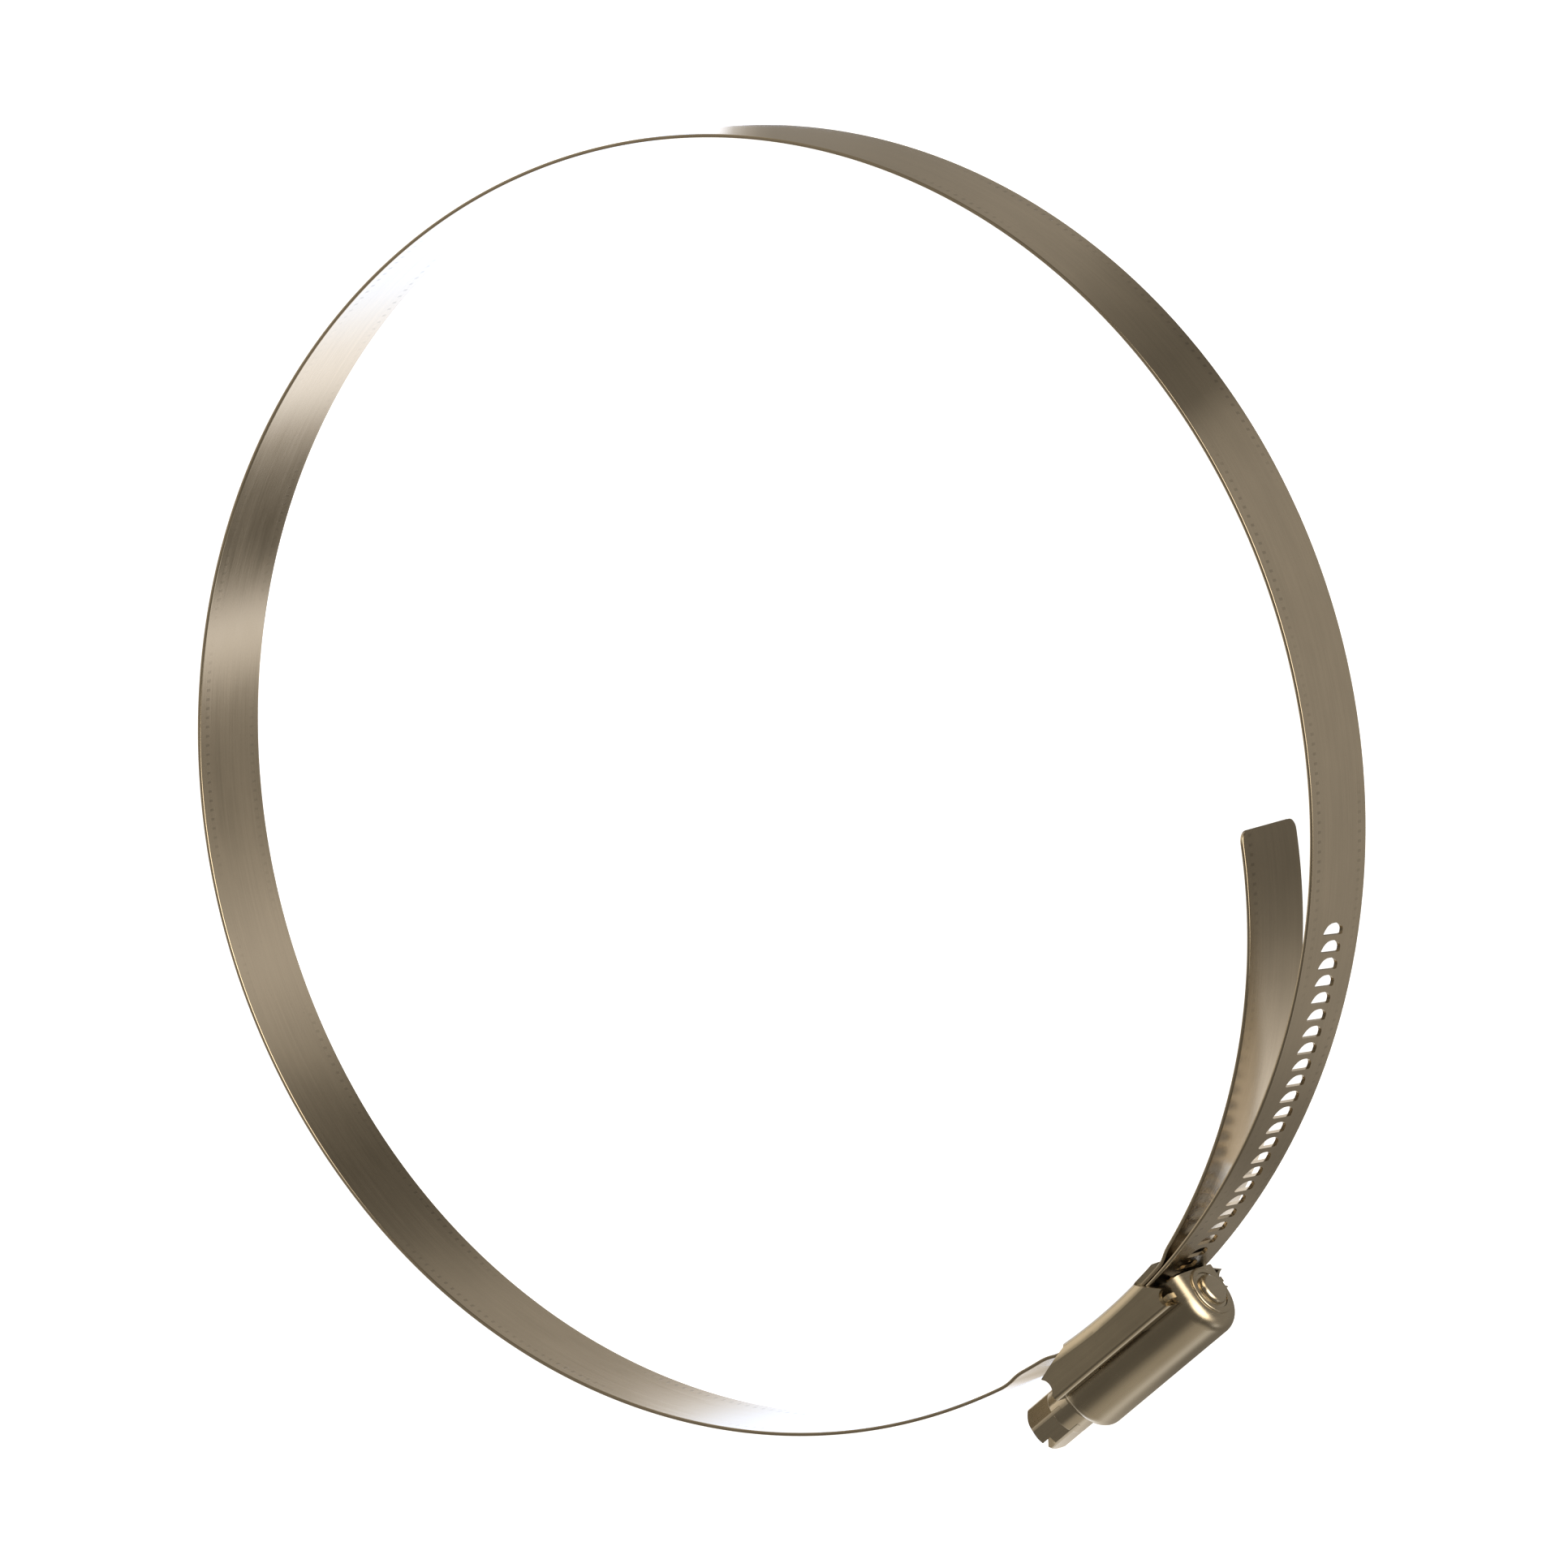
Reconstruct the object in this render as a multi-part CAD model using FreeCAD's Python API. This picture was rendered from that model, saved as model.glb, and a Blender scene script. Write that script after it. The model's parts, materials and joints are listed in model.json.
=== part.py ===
"""Lined worm-drive hose clamp: one steel band, a saddle, a screw housing and a worm screw.

Frame: origin at the centre of the loop, at half the width of the band. +Z is the axis of
the hose. The housing is at -Y, its screw is parallel to X, and the screw's head points to -X.
Millimetres. A height is a distance from the loop's centre towards -Y.
"""
import FreeCAD
import Part
import math
import os

from FreeCAD import Vector

# ---------------------------------------------------------------- driving dimensions
loop_diameter = 177.8          # across the middle of the band's thickness, slotted side
band_width = 14.3
band_thickness = 0.5
layer_gap = 0.15               # between the slotted end and the captive end under the screw

thread_pitch = 2.4             # of the screw, and of the slots along the band
thread_radius = 4.4
thread_depth = 0.95
thread_crest = 0.45
thread_root = 1.0
thread_reach = 0.30            # how far the thread goes below the middle of the slotted band

slots_before_screw = 3         # slots on the tail's side of the housing's middle
slotted_angle = 43.0           # from the housing's middle to the end of the run of slots
slot_length = 5.2              # across the band
slot_height = 1.65             # along the band, at the slot's widest place
slot_flat = 0.58               # from the thread's middle to the slot's flat edge
slot_narrow_end = 0.55
slot_wide_end = 0.9
tail_length = 9.2              # from the housing's middle to the slotted end's tip
tail_corner = 2.2

housing_length = 25.5
shell_thickness = 0.95
screw_clearance = 0.15
leg_clearance = 0.25           # from the slotted band to the housing's legs
foot_height = 1.85             # from the slotted band's outer face to the underside of the feet
foot_thickness = 0.75
foot_width = 1.7
foot_setback = 0.3             # of the feet's ends from the saddle's ends
front_round = 2.1
rear_round = 1.7
running_fit = 0.06             # radial, of the screw's journals in the housing

saddle_thickness = 0.85
saddle_side_gap = 0.1          # from the band's edge to the saddle's wall
saddle_front_setback = 1.35    # from the housing's front end
saddle_rear_setback = 0.75
saddle_edge_round = 1.7        # along the lower edges of the walls
lip_round = 0.6                # along the upper ones, where the lips turn in
lip_gap = 0.05
lip_overlap = 0.65             # share of the housing's feet that the lips cover between the tabs
tab_length = 7.0
corner_notch_radius = 1.27     # at the front corners, between the walls and the lips
corner_notch_drop = 0.38
rear_scallop_radius = 1.6      # hollow in the walls' rear edges
rear_scallop_depth = 0.6
floor_setback = 5.4            # of the saddle's floor from its rear end
wall_step = 0.35               # how far the walls' lower edges stand back behind the floor
rear_wall_rise = 1.5           # further rise of the walls' lower edges towards the rear end
front_wall_cut = 3.6           # length of the slanting cut at the walls' lower front corners
front_wall_rise = 3.0

screw_end_play = 0.1
core_chamfer = 0.5
tip_journal_radius = 2.72
tip_rim_width = 0.9            # raised rim round the hole for the tip journal
tip_rim_height = 0.3
tip_rim_round = 0.28
neck_radius = 2.9
button_radius = 2.3
button_length = 1.0
button_round = 0.7
collar_radius = 3.5
collar_length = 3.5
collar_gap = 0.35
collar_round = 0.35
hex_across_flats = 6.35
hex_length = 6.15              # from the middle of the collar's length
hex_turn = 25.0                # from the direction of the loop's centre to a corner
hex_corner_share = 0.965       # of the corners' radius, to which the head is turned
hex_end_share = 0.8            # at the end of the bevel
hex_bevel = 0.5
driver_slot_width = 1.2
driver_slot_depth = 1.7
driver_slot_turn = 135.0

joggle_shift = 0.65            # how far the band steps inwards behind the saddle
joggle_bend_radius = 8.0
joggle_sweep = 2.0             # angle over which it stays stepped in
joggle_gap = 0.25              # from the joggle's end to the saddle's floor

exit_setback = 0.5             # from the housing's front end to the liner's bend
liner_bend_angle = 20.0        # how far the liner turns inwards as it leaves the saddle
liner_bend_radius = 4.0
liner_ramp = 1.0
liner_return_angle = 10.3      # how far it turns back at its root
liner_return_radius = 5.0
liner_curve_share = 0.895      # of the loop's radius
liner_length = 59.2
liner_corner = 1.6

hinge_half_angle = 45.0        # the band bends at this angle each side of the housing and of the top
hinge_gap = 0.1                # along the band, between two spans

# ---------------------------------------------------------------- sizes that follow
slotted_radius = loop_diameter / 2
slot_count = slots_before_screw + 1 + int(math.radians(slotted_angle) * slotted_radius / thread_pitch)
liner_curve_radius = liner_curve_share * slotted_radius
layer_step = band_thickness + layer_gap
captive_radius = slotted_radius - layer_step
top_radius = (slotted_radius + captive_radius) / 2
top_centre = layer_step / 2
half_width = band_width / 2
half_thickness = band_thickness / 2

tolerance = 0.01               # for picking edges by their place
slotted_outer = slotted_radius + half_thickness
captive_inner = captive_radius - half_thickness
axis_height = slotted_radius - thread_reach + thread_radius
dome_inner = thread_radius + screw_clearance
dome_outer = dome_inner + shell_thickness
leg_bottom = slotted_outer + leg_clearance
foot_bottom = slotted_outer + foot_height
foot_top = foot_bottom + foot_thickness
foot_edge = min(dome_outer + foot_width, half_width + saddle_side_gap - lip_gap)
half_housing = housing_length / 2
core_radius = thread_radius - thread_depth

saddle_front = half_housing - saddle_front_setback
saddle_rear = half_housing - saddle_rear_setback
saddle_inner_side = half_width + saddle_side_gap
saddle_outer_side = saddle_inner_side + saddle_thickness
saddle_bottom = captive_inner - saddle_thickness
lip_bottom = foot_top + lip_gap
saddle_top = lip_bottom + saddle_thickness
floor_rear = saddle_rear - floor_setback
joggle_end = math.degrees(math.asin((floor_rear + joggle_gap) / captive_radius))
lip_edge = dome_outer + 4 * lip_gap
lip_middle_edge = lip_edge + lip_overlap * (saddle_inner_side - lip_edge)

X_AXIS = Vector(1, 0, 0)
Y_AXIS = Vector(0, 1, 0)
Z_AXIS = Vector(0, 0, 1)


# ---------------------------------------------------------------- shared shapes
def slab(x_low, x_high, height_low, height_high, z_low, z_high):
    """Box between two heights, which are distances towards -Y."""
    corner = Vector(x_low, -height_high, z_low)
    return Part.makeBox(x_high - x_low, height_high - height_low, z_high - z_low, corner)


def rod(radius, x_low, x_high):
    """Round bar on the screw's axis."""
    start = Vector(x_low, -axis_height, 0)
    return Part.makeCylinder(radius, x_high - x_low, start, X_AXIS)


def hose_cylinder(radius):
    """Cylinder on the hose's axis, wider than the saddle."""
    reach = 2 * saddle_outer_side
    return Part.makeCylinder(radius, 2 * reach, Vector(0, 0, -reach), Z_AXIS)


def loop_point(radius, degrees, centre_x=0.0):
    angle = math.radians(degrees)
    return Vector(centre_x + radius * math.cos(angle), radius * math.sin(angle), 0)


def prism(edges):
    """Solid of the band's width from a closed outline at half its width."""
    face = Part.Face(Part.Wire(Part.__sortEdges__(edges)))
    face.translate(Vector(0, 0, -half_width))
    return face.extrude(Vector(0, 0, band_width))


def curved_strip(radius, start, end, centre_x=0.0):
    """Length of band along a circle, from one angle to another in degrees."""
    outer = radius + half_thickness
    inner = radius - half_thickness
    middle = (start + end) / 2
    corners = [loop_point(outer, start, centre_x), loop_point(outer, end, centre_x),
               loop_point(inner, end, centre_x), loop_point(inner, start, centre_x)]
    outer_arc = Part.Arc(corners[0], loop_point(outer, middle, centre_x), corners[1]).toShape()
    inner_arc = Part.Arc(corners[3], loop_point(inner, middle, centre_x), corners[2]).toShape()
    end_cap = Part.makeLine(corners[1], corners[2])
    start_cap = Part.makeLine(corners[3], corners[0])
    return prism([outer_arc, end_cap, inner_arc, start_cap])


def joined(solids):
    body = solids[0]
    for solid in solids[1:]:
        body = body.fuse(solid)
    return body.removeSplitter()


def bent_strip(point, heading, moves):
    """Length of band that follows straight and curved moves; turning left is positive.

    Each move is (length, radius, turn): a straight move has a turn of 0, and a curved one
    has a length of 0. Returns the solid, and the point and heading at its end.
    """
    solids = []
    for length, radius, turn in moves:
        along = Vector(math.cos(math.radians(heading)), math.sin(math.radians(heading)), 0)
        left = Vector(-along.y, along.x, 0)
        if turn == 0:
            end = point + along * length
            offset = left * half_thickness
            corners = [point - offset, end - offset, end + offset, point + offset]
            edges = [Part.makeLine(corners[i], corners[(i + 1) % 4]) for i in range(4)]
        else:
            side = math.copysign(1, turn)
            centre = point + left * (radius * side)
            spoke = point - centre
            turned = [FreeCAD.Rotation(Z_AXIS, turn * part).multVec(spoke) for part in (0, 0.5, 1)]
            edges = []
            ends = []
            for edge_radius in (radius - half_thickness, radius + half_thickness):
                scaled = [centre + spoke_now * (edge_radius / radius) for spoke_now in turned]
                edges.append(Part.Arc(scaled[0], scaled[1], scaled[2]).toShape())
                ends.append(scaled)
            edges.append(Part.makeLine(ends[0][0], ends[1][0]))
            edges.append(Part.makeLine(ends[0][2], ends[1][2]))
            end = centre + turned[2]
        solids.append(prism(edges))
        point = end
        heading += turn
    return joined(solids), point, heading


def rounded_tip(strip, tip, radius):
    """Round the two corners of a strip at its tip."""
    corner_edges = []
    for edge in strip.Edges:
        middle = edge.CenterOfMass
        near_tip = Vector(middle.x, middle.y, 0).distanceToPoint(tip) < half_thickness
        upright = abs(edge.Length - band_thickness) < tolerance
        if near_tip and upright and abs(middle.z) > half_width - tolerance:
            corner_edges.append(edge)
    return strip.makeFillet(radius, corner_edges)


def long_edges(shape, wanted, shortest):
    """Edges of at least a length whose middle passes a test."""
    return [edge for edge in shape.Edges if edge.Length > shortest and wanted(edge.CenterOfMass)]


# ---------------------------------------------------------------- housing
def arch(radius, x_low, x_high, bottom):
    """Solid with a round top over the screw and straight sides down to a height."""
    left_foot = Vector(x_low, -bottom, -radius)
    left_spring = Vector(x_low, -axis_height, -radius)
    crown = Vector(x_low, -axis_height - radius, 0)
    right_spring = Vector(x_low, -axis_height, radius)
    right_foot = Vector(x_low, -bottom, radius)
    edges = [Part.makeLine(left_foot, left_spring),
             Part.Arc(left_spring, crown, right_spring).toShape(),
             Part.makeLine(right_spring, right_foot), Part.makeLine(right_foot, left_foot)]
    return Part.Face(Part.Wire(edges)).extrude(Vector(x_high - x_low, 0, 0))


def round_arch_end(solid, x_end, radius):
    """Round the edge between an arch's end wall and its top and sides."""
    edges = [edge for edge in solid.Edges
             if all(abs(vertex.X - x_end) < tolerance for vertex in edge.Vertexes)
             and -edge.CenterOfMass.y > leg_bottom + tolerance]
    return solid.makeFillet(radius, edges)


def make_housing():
    wall = shell_thickness
    outside = arch(dome_outer, -half_housing, half_housing, leg_bottom)
    outside = round_arch_end(outside, half_housing, front_round)
    outside = round_arch_end(outside, -half_housing, rear_round)
    inside = arch(dome_inner, wall - half_housing, half_housing - wall, leg_bottom - wall)
    inside = round_arch_end(inside, half_housing - wall, front_round - wall)
    inside = round_arch_end(inside, wall - half_housing, rear_round - wall)
    rim_end = half_housing + tip_rim_height
    rim = rod(tip_journal_radius + tip_rim_width, half_housing - wall / 2, rim_end)
    rim = rim.makeFillet(tip_rim_round, [edge for edge in rim.Edges
                                         if abs(edge.CenterOfMass.x - rim_end) < tolerance])
    shell = outside.fuse(rim).cut(inside)
    for side in (-1, 1):
        z_ends = sorted((side * (dome_outer - wall / 2), side * foot_edge))
        foot = slab(foot_setback - saddle_rear, saddle_front - foot_setback,
                    foot_bottom, foot_top, *z_ends)
        shell = shell.fuse(foot)
    shell = shell.cut(rod(tip_journal_radius + running_fit, 0, housing_length))
    shell = shell.cut(rod(neck_radius + running_fit, -housing_length, 0))
    return shell.removeSplitter()


# ---------------------------------------------------------------- saddle
def wall_cutter(corners, z_start):
    """Cutter for both walls from an outline of (x, height) corners, outwards from a distance off centre."""
    points = [Vector(x, -height, z_start) for x, height in corners]
    face = Part.Face(Part.makePolygon(points + [points[0]]))
    cutter = face.extrude(Vector(0, 0, 2 * saddle_outer_side))
    return cutter.fuse(cutter.mirror(Vector(0, 0, 0), Z_AXIS))


def make_saddle():
    """Channel under the band, with lips over the housing's feet and two tabs on each lip."""
    below = saddle_bottom - saddle_outer_side
    block = slab(-saddle_rear, saddle_front, below, saddle_top, -saddle_outer_side, saddle_outer_side)
    block = block.cut(hose_cylinder(saddle_bottom))
    long_side = 0.6 * (saddle_front + saddle_rear)
    middle_height = (saddle_bottom + saddle_top) / 2
    for low, edge_round in ((True, saddle_edge_round), (False, lip_round)):
        block = block.makeFillet(edge_round, long_edges(
            block, lambda middle: abs(middle.z) > saddle_outer_side - tolerance
            and (-middle.y < middle_height) == low, long_side))
    channel = slab(-housing_length, housing_length, below, lip_bottom,
                   -saddle_inner_side, saddle_inner_side)
    channel = channel.cut(hose_cylinder(captive_inner))
    throat = slab(-housing_length, housing_length, foot_bottom, 2 * saddle_top, -lip_edge, lip_edge)
    between_tabs = slab(tab_length - saddle_rear, saddle_front - tab_length, foot_bottom,
                        2 * saddle_top, -lip_middle_edge, lip_middle_edge)
    saddle = block.cut(channel).cut(throat).cut(between_tabs)
    for side in (-1, 1):
        start = Vector(saddle_front, corner_notch_drop - lip_bottom, side * lip_edge)
        reach = 2 * saddle_outer_side
        saddle = saddle.cut(Part.makeCylinder(corner_notch_radius, reach, start, Z_AXIS * side))
    floor_relief = slab(-housing_length, -floor_rear, below, saddle_top,
                        -saddle_inner_side, saddle_inner_side)
    floor_relief = floor_relief.common(hose_cylinder(captive_inner + tolerance))
    step_height = saddle_bottom + wall_step
    rear_cut = wall_cutter([(-floor_rear, below), (-floor_rear, step_height),
                            (-saddle_rear, step_height + rear_wall_rise),
                            (-saddle_rear, below)], half_width - wall_step)
    cut_start = saddle_front - front_wall_cut
    front_cut = wall_cutter([(cut_start, below), (cut_start, saddle_bottom),
                             (saddle_front, saddle_bottom + front_wall_rise),
                             (saddle_front, below)], half_width - wall_step)
    saddle = saddle.cut(floor_relief).cut(rear_cut).cut(front_cut)
    scallop_height = (step_height + rear_wall_rise + lip_bottom) / 2
    scallop_x = rear_scallop_depth - saddle_rear - rear_scallop_radius
    scallop_start = Vector(scallop_x, -scallop_height, -2 * saddle_outer_side)
    scallop = Part.makeCylinder(rear_scallop_radius, 4 * saddle_outer_side, scallop_start, Z_AXIS)
    return saddle.cut(scallop).removeSplitter()


# ---------------------------------------------------------------- worm screw
def make_thread(x_low, x_high):
    """Right-handed helical ridge that sinks a little into the screw's core."""
    sunk = 0.3
    turns = (x_high - x_low) / thread_pitch
    flank = (thread_root - thread_crest) / 2 / thread_depth
    helix = Part.makeHelix(thread_pitch, turns * thread_pitch, core_radius)
    half_foot = thread_root / 2 + sunk * flank
    half_crest = thread_crest / 2
    foot_radius = core_radius - sunk
    points = [Vector(foot_radius, 0, -half_foot), Vector(thread_radius, 0, -half_crest),
              Vector(thread_radius, 0, half_crest), Vector(foot_radius, 0, half_foot)]
    profile = Part.makePolygon(points + [points[0]])
    ridge = Part.Wire(helix.Edges).makePipeShell([profile], True, True)
    # The helix starts at angle 0; a crest has to meet the band at the housing's middle.
    ridge.rotate(Vector(0, 0, 0), Y_AXIS, 90)
    ridge.rotate(Vector(0, 0, 0), X_AXIS, 90)
    start_angle = 360.0 * x_low / thread_pitch
    ridge.rotate(Vector(0, 0, 0), X_AXIS, start_angle)
    ridge.translate(Vector(x_low, -axis_height, 0))
    return ridge


def make_head(x_start):
    """Six-sided head with a slot for a flat screwdriver."""
    circle_radius = hex_across_flats / 2 / math.cos(math.radians(30))
    corners = []
    for step in range(7):
        angle = math.radians(60 * step + hex_turn)
        corners.append(Vector(x_start, -axis_height + circle_radius * math.cos(angle),
                              circle_radius * math.sin(angle)))
    head = Part.Face(Part.makePolygon(corners)).extrude(Vector(-hex_length, 0, 0))
    bevel_start = x_start - hex_length + hex_bevel
    turned_radius = hex_corner_share * circle_radius
    envelope = rod(turned_radius, bevel_start, x_start)
    cone = Part.makeCone(turned_radius, hex_end_share * circle_radius, hex_bevel,
                         Vector(bevel_start, -axis_height, 0), Vector(-1, 0, 0))
    head = head.common(envelope.fuse(cone))
    slot_corner = Vector(x_start - hex_length - driver_slot_depth, -axis_height - hex_across_flats,
                         -driver_slot_width / 2)
    cutter = Part.makeBox(2 * driver_slot_depth, 2 * hex_across_flats, driver_slot_width, slot_corner)
    cutter.rotate(Vector(0, -axis_height, 0), X_AXIS, driver_slot_turn)
    return head.cut(cutter)


def make_screw():
    """Core, thread, journals, collar and head in one piece."""
    front_inside = half_housing - shell_thickness - screw_end_play
    rear_inside = -front_inside
    buried = thread_root           # how far each turned part runs into its neighbour
    core = rod(core_radius, rear_inside, front_inside)
    core = core.makeChamfer(core_chamfer, [edge for edge in core.Edges
                                           if abs(edge.CenterOfMass.z) < tolerance
                                           and edge.Curve.TypeId == "Part::GeomCircle"])
    thread = make_thread(rear_inside + thread_root, front_inside - thread_root)
    journal = rod(tip_journal_radius, front_inside - buried, half_housing + tip_rim_height / 2)
    button_end = half_housing + button_length
    button = rod(button_radius, half_housing, button_end)
    button = button.makeFillet(button_round, [edge for edge in button.Edges
                                              if abs(edge.CenterOfMass.x - button_end) < tolerance])
    collar_front = -half_housing - collar_gap
    collar = rod(collar_radius, collar_front - collar_length, collar_front)
    collar = collar.makeFillet(collar_round, [edge for edge in collar.Edges
                                              if edge.Curve.TypeId == "Part::GeomCircle"])
    neck = rod(neck_radius, collar_front - collar_length / 2, rear_inside + buried)
    head = make_head(collar_front - collar_length / 2)
    screw = core.fuse(thread).fuse(journal).fuse(button).fuse(neck).fuse(collar).fuse(head)
    return screw.removeSplitter()


# ---------------------------------------------------------------- band
def gap_angle(radius):
    """Angle that half the gap between two spans takes up at a radius."""
    return math.degrees(hinge_gap / 2 / radius)


def joggle(radius):
    """Moves that step the band inwards from a radius and back, and the angle they take."""
    far_side = radius - joggle_shift + joggle_bend_radius
    near_side = radius - joggle_bend_radius
    between = 2 * joggle_bend_radius
    turn_in = math.acos((far_side ** 2 - near_side ** 2 - between ** 2) / (2 * near_side * between))
    step_sweep = math.asin(between * math.sin(turn_in) / far_side)
    turn_back = math.degrees(turn_in - step_sweep)
    step_in = [(0, joggle_bend_radius, math.degrees(turn_in)), (0, joggle_bend_radius, -turn_back)]
    moves = step_in + [(0, radius - joggle_shift, joggle_sweep)] + step_in[::-1]
    return moves, joggle_sweep + 2 * math.degrees(step_sweep)


def make_captive_band():
    """Captive end: from the first bend, past the joggle, through the saddle, to the liner's root."""
    start_angle = 270 - hinge_half_angle + gap_angle(captive_radius)
    joggle_moves, joggle_total = joggle(captive_radius)
    joggle_start = 270 - joggle_end - joggle_total
    exit_angle = math.degrees(math.asin((half_housing - exit_setback) / captive_radius))
    start = loop_point(captive_radius, start_angle)
    moves = [(0, captive_radius, joggle_start - start_angle)] + joggle_moves
    moves.append((0, captive_radius, joggle_end + exit_angle))
    moves.append((0, liner_bend_radius, liner_bend_angle))
    moves.append((liner_ramp, 0, 0))
    return bent_strip(start, start_angle + 90, moves)


def make_liner(root_point, heading):
    along = Vector(math.cos(math.radians(heading)), math.sin(math.radians(heading)), 0)
    start = root_point + along * hinge_gap
    sweep = math.degrees(liner_length / liner_curve_radius)
    moves = [(0, liner_return_radius, -liner_return_angle), (0, liner_curve_radius, sweep)]
    liner, tip, _ = bent_strip(start, heading, moves)
    return rounded_tip(liner, tip, liner_corner)


def make_left_band():
    gap = gap_angle(captive_radius)
    lower = curved_strip(captive_radius, 180, 270 - hinge_half_angle - gap)
    upper = curved_strip(top_radius, 90 + hinge_half_angle + gap, 180, top_centre)
    return joined([lower, upper])


def make_top_band():
    gap = gap_angle(top_radius)
    return curved_strip(top_radius, 90 - hinge_half_angle + gap, 90 + hinge_half_angle - gap, top_centre)


def make_right_band():
    gap = gap_angle(slotted_radius)
    upper = curved_strip(top_radius, 0, 90 - hinge_half_angle - gap, top_centre)
    lower = curved_strip(slotted_radius, hinge_half_angle - 90 + gap, 0)
    return joined([upper, lower])


def make_slot_cutter():
    """Slot at the housing's middle: a flat edge on the tail's side and a humped one opposite.

    The hump is highest beyond the middle, so the slot is narrow at its +Z end.
    """
    height = slotted_radius - band_thickness
    end = slot_length / 2
    low = -slot_flat

    def place(above_flat, across):
        return Vector(low + above_flat, -height, across * end)

    peak = place(slot_height, -0.25)
    long_side = Part.Arc(place(slot_narrow_end, 1), place(0.85 * slot_height, 0.4), peak).toShape()
    short_side = Part.Arc(peak, place(0.88 * slot_height, -0.8), place(slot_wide_end, -1)).toShape()
    edges = [Part.makeLine(place(0, -0.88), place(0, 0.95)),
             Part.makeLine(place(0, 0.95), place(slot_narrow_end, 1)),
             long_side, short_side,
             Part.makeLine(place(slot_wide_end, -1), place(0.3 * slot_wide_end, -1)),
             Part.makeLine(place(0.3 * slot_wide_end, -1), place(0, -0.88))]
    cutter = Part.Face(Part.Wire(edges)).extrude(Vector(0, -2 * band_thickness, 0))
    slant = math.degrees(math.atan(thread_pitch / (2 * math.pi * (thread_radius - thread_reach))))
    cutter.rotate(Vector(0, -height, 0), Y_AXIS, slant)
    return cutter


def make_slotted_end():
    gap = gap_angle(slotted_radius)
    tip_angle = 270 - math.degrees(tail_length / slotted_radius)
    strip = curved_strip(slotted_radius, tip_angle, 270 + hinge_half_angle - gap)
    strip = rounded_tip(strip, loop_point(slotted_radius, tip_angle), tail_corner)
    cutters = []
    for number in range(-slots_before_screw, slot_count - slots_before_screw):
        cutter = make_slot_cutter()
        turn = math.degrees(number * thread_pitch / slotted_radius)
        cutter.rotate(Vector(0, 0, 0), Z_AXIS, turn)
        cutters.append(cutter)
    return strip.cut(Part.makeCompound(cutters))


# ---------------------------------------------------------------- files
def save(name, shape):
    solids = shape.Solids
    body = solids[0] if len(solids) == 1 else Part.makeCompound(solids)
    body.exportStep(os.path.join("parts", name + ".step"))
    print(name, "solids", len(solids), "valid", body.isValid(), "volume", round(body.Volume, 2))


def main():
    os.makedirs("parts", exist_ok=True)
    captive_band, liner_root, liner_heading = make_captive_band()
    print("liner root", [round(value, 3) for value in liner_root], "heading", round(liner_heading, 2))
    save("housing_shell", make_housing())
    save("saddle", make_saddle())
    save("worm_screw", make_screw())
    save("captive_band", captive_band)
    save("liner_tongue", make_liner(liner_root, liner_heading))
    save("band_left", make_left_band())
    save("band_top", make_top_band())
    save("band_right", make_right_band())
    save("slotted_end", make_slotted_end())


main()
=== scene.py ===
"""Lined worm-drive hose clamp: its steel strip, finishes and studio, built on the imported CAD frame."""
import bmesh
import bpy
import json
import math
from mathutils import Matrix, Vector
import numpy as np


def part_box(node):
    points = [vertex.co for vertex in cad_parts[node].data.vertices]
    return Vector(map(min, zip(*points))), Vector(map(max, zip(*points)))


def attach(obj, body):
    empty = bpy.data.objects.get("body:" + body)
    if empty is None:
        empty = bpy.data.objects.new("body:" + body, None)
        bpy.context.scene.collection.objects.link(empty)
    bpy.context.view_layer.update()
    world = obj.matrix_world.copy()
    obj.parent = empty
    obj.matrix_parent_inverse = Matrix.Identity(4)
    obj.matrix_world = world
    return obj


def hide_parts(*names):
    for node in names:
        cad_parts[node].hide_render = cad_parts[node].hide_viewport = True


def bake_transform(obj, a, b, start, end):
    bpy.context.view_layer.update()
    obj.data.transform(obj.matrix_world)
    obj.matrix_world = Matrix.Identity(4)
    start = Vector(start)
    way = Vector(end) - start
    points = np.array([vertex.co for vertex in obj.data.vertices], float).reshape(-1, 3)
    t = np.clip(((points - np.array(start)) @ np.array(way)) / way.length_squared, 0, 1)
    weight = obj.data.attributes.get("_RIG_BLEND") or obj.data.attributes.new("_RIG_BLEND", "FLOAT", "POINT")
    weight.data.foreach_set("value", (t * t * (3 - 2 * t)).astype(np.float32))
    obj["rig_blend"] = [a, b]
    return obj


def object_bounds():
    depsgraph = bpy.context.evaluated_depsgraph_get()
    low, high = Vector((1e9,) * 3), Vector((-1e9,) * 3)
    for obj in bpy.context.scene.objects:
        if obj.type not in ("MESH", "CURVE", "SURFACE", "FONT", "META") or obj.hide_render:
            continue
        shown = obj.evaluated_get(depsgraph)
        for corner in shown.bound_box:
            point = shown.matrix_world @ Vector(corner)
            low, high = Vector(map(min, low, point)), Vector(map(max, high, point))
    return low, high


bl_info = {
    "name": "Hose Clamp Maker",
    "version": (1, 0, 0),
    "blender": (4, 5, 0),
    "location": "View3D > Sidebar > Hose Clamp",
    "description": "Builds the strip, finishes and studio of a lined worm-drive hose clamp",
    "category": "Add Mesh",
}

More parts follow.
